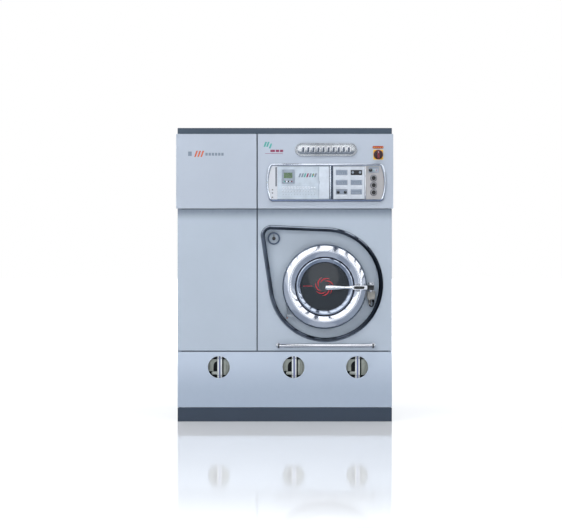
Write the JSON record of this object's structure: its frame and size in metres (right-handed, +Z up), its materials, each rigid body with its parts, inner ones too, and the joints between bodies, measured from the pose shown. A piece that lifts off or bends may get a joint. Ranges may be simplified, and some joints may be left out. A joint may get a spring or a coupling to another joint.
{
  "type": "dry cleaning machine",
  "caption": "Closed-circuit dry cleaning machine with a round glazed loading door in a teardrop recess, a turning perforated basket and a control fascia.",
  "frame": {"origin": "middle of the cabinet's footprint on the floor, under the safety tray", "axes": "+Z up, the front with the loading door faces -Y, +X to the right seen from the front"},
  "size_m": [1.33, 1.315, 1.8],
  "materials": {
    "panel_paint": "satin blue-grey powder coat",
    "recess_paint": "satin grey enamel",
    "cap_paint": "satin slate enamel",
    "plinth_paint": "satin navy enamel",
    "frame_paint": "matt grey enamel",
    "chrome_trim": "bright plated",
    "door_metal": "turned and polished",
    "lever_metal": "bright plated",
    "hinge_steel": "satin",
    "door_pane": "tinted",
    "seal_rubber": "matt",
    "switch_case": "satin",
    "cable_rubber": "matt",
    "black_plastic": "fine texture",
    "keypad_foil": "satin foil",
    "display_plastic": "fine texture",
    "instrument_plate": "satin",
    "cheek_metal": "brushed",
    "isolator_yellow": "satin",
    "isolator_red": "gloss",
    "drum_steel": "rolled sheet",
    "shaft_steel": "ground",
    "cast_parts": "painted",
    "motor_paint": "gloss enamel",
    "gauge_metal": "gloss enamel",
    "brass_stubs": "machined"
  },
  "bodies": {
    "cabinet": {"fascia_left": "panel_paint", "fascia_right": "panel_paint", "panel_left": "panel_paint", "panel_right": "panel_paint", "panel_lower": "panel_paint", "side_panels": "panel_paint", "back_panel": "panel_paint", "recess_pan": "recess_paint", "top_cap": "cap_paint", "plinth": "plinth_paint", "safety_tray": "plinth_paint", "frame_posts": "frame_paint", "frame_rails": "frame_paint", "recess_trim": "chrome_trim", "chrome_rail": "chrome_trim", "latch_keeper": "chrome_trim", "control_bezel": "chrome_trim", "nameplate": "chrome_trim", "dial_gauge": "chrome_trim", "hinge_bracket": "hinge_steel", "drive_belt": "seal_rubber", "door_switch": "switch_case", "switch_cable": "cable_rubber", "keypad_panel": "keypad_foil", "display_module": "display_plastic", "instrument_panel": "instrument_plate", "cheek_left": "cheek_metal", "cheek_right": "cheek_metal", "isolator_plate": "isolator_yellow", "drum_housing": "drum_steel", "still": "drum_steel", "filter_housing": "drum_steel", "solvent_tanks": "drum_steel", "button_trap": "drum_steel", "fan_housing": "drum_steel", "cooler_duct": "drum_steel", "bearing_housing": "cast_parts", "drum_motor": "motor_paint", "solvent_pump": "motor_paint", "level_gauges": "gauge_metal", "service_stubs": "brass_stubs"},
    "loading_door": {"door_ring": "door_metal", "door_glass": "door_pane", "door_gasket": "seal_rubber", "hinge_arm": "hinge_steel", "latch_bracket": "chrome_trim"},
    "latch_lever": {"latch_lever": "lever_metal"},
    "basket": {"basket": "drum_steel", "basket_shaft": "shaft_steel", "drum_pulley": "cast_parts"},
    "motor_rotor": {"motor_pulley": "cast_parts"},
    "fan_wheel": {"fan_impeller": "shaft_steel"},
    "dial_pointer": {"dial_pointer": "black_plastic"},
    "isolator_knob": {"isolator_knob": "isolator_red"},
    "push_button_top": {"push_button_top": "black_plastic"},
    "push_button_middle": {"push_button_middle": "black_plastic"},
    "push_button_bottom": {"push_button_bottom": "black_plastic"},
    "selector_knob": {"selector_knob": "black_plastic"},
    "instrument_knob_left": {"instrument_knob_left": "black_plastic"},
    "instrument_knob_right": {"instrument_knob_right": "black_plastic"}
  },
  "joints": [
    {"name": "door_hinge", "type": "hinge", "parent": "cabinet", "child": "loading_door", "pos_m": [0.015, -0.583, 0.828], "axis": [0, 0, -1], "range_deg": [0, 95]},
    {"name": "latch_swing", "type": "hinge", "parent": "loading_door", "child": "latch_lever", "pos_m": [0.446, -0.662, 0.822], "axis": [0, 0, 1], "range_deg": [0, 25]},
    {"name": "basket_spin", "type": "hinge", "parent": "cabinet", "child": "basket", "pos_m": [0.245, 0, 0.828], "axis": [0, 1, 0], "continuous": true},
    {"name": "motor_spin", "type": "hinge", "parent": "cabinet", "child": "motor_rotor", "pos_m": [-0.06, 0.322, 0.56], "axis": [0, 1, 0], "continuous": true},
    {"name": "fan_spin", "type": "hinge", "parent": "cabinet", "child": "fan_wheel", "pos_m": [0.04, -0.12, 1.5], "axis": [0, 1, 0], "continuous": true},
    {"name": "dial_pointer_turn", "type": "hinge", "parent": "cabinet", "child": "dial_pointer", "pos_m": [-0.067, -0.558, 1.123], "axis": [0, 1, 0], "range_deg": [-135, 135]},
    {"name": "isolator_turn", "type": "hinge", "parent": "cabinet", "child": "isolator_knob", "pos_m": [0.573, -0.616, 1.636], "axis": [0, 1, 0], "range_deg": [0, 90]},
    {"name": "selector_turn", "type": "hinge", "parent": "cabinet", "child": "selector_knob", "pos_m": [0.525, -0.615, 1.54], "axis": [0, 1, 0], "range_deg": [-135, 135]},
    {"name": "instrument_left_turn", "type": "hinge", "parent": "cabinet", "child": "instrument_knob_left", "pos_m": [0.327, -0.615, 1.405], "axis": [0, 1, 0], "range_deg": [-135, 135]},
    {"name": "instrument_right_turn", "type": "hinge", "parent": "cabinet", "child": "instrument_knob_right", "pos_m": [0.37, -0.615, 1.405], "axis": [0, 1, 0], "range_deg": [-135, 135]},
    {"name": "push_top", "type": "slide", "parent": "cabinet", "child": "push_button_top", "axis": [0, 1, 0], "range_m": [0, 0.004], "stiffness_N_per_m": 400},
    {"name": "push_middle", "type": "slide", "parent": "cabinet", "child": "push_button_middle", "axis": [0, 1, 0], "range_m": [0, 0.004], "stiffness_N_per_m": 400},
    {"name": "push_bottom", "type": "slide", "parent": "cabinet", "child": "push_button_bottom", "axis": [0, 1, 0], "range_m": [0, 0.004], "stiffness_N_per_m": 400}
  ],
  "couplings": [
    {"joint": "motor_spin", "follows": "basket_spin", "ratio": 4.4234}
  ]
}
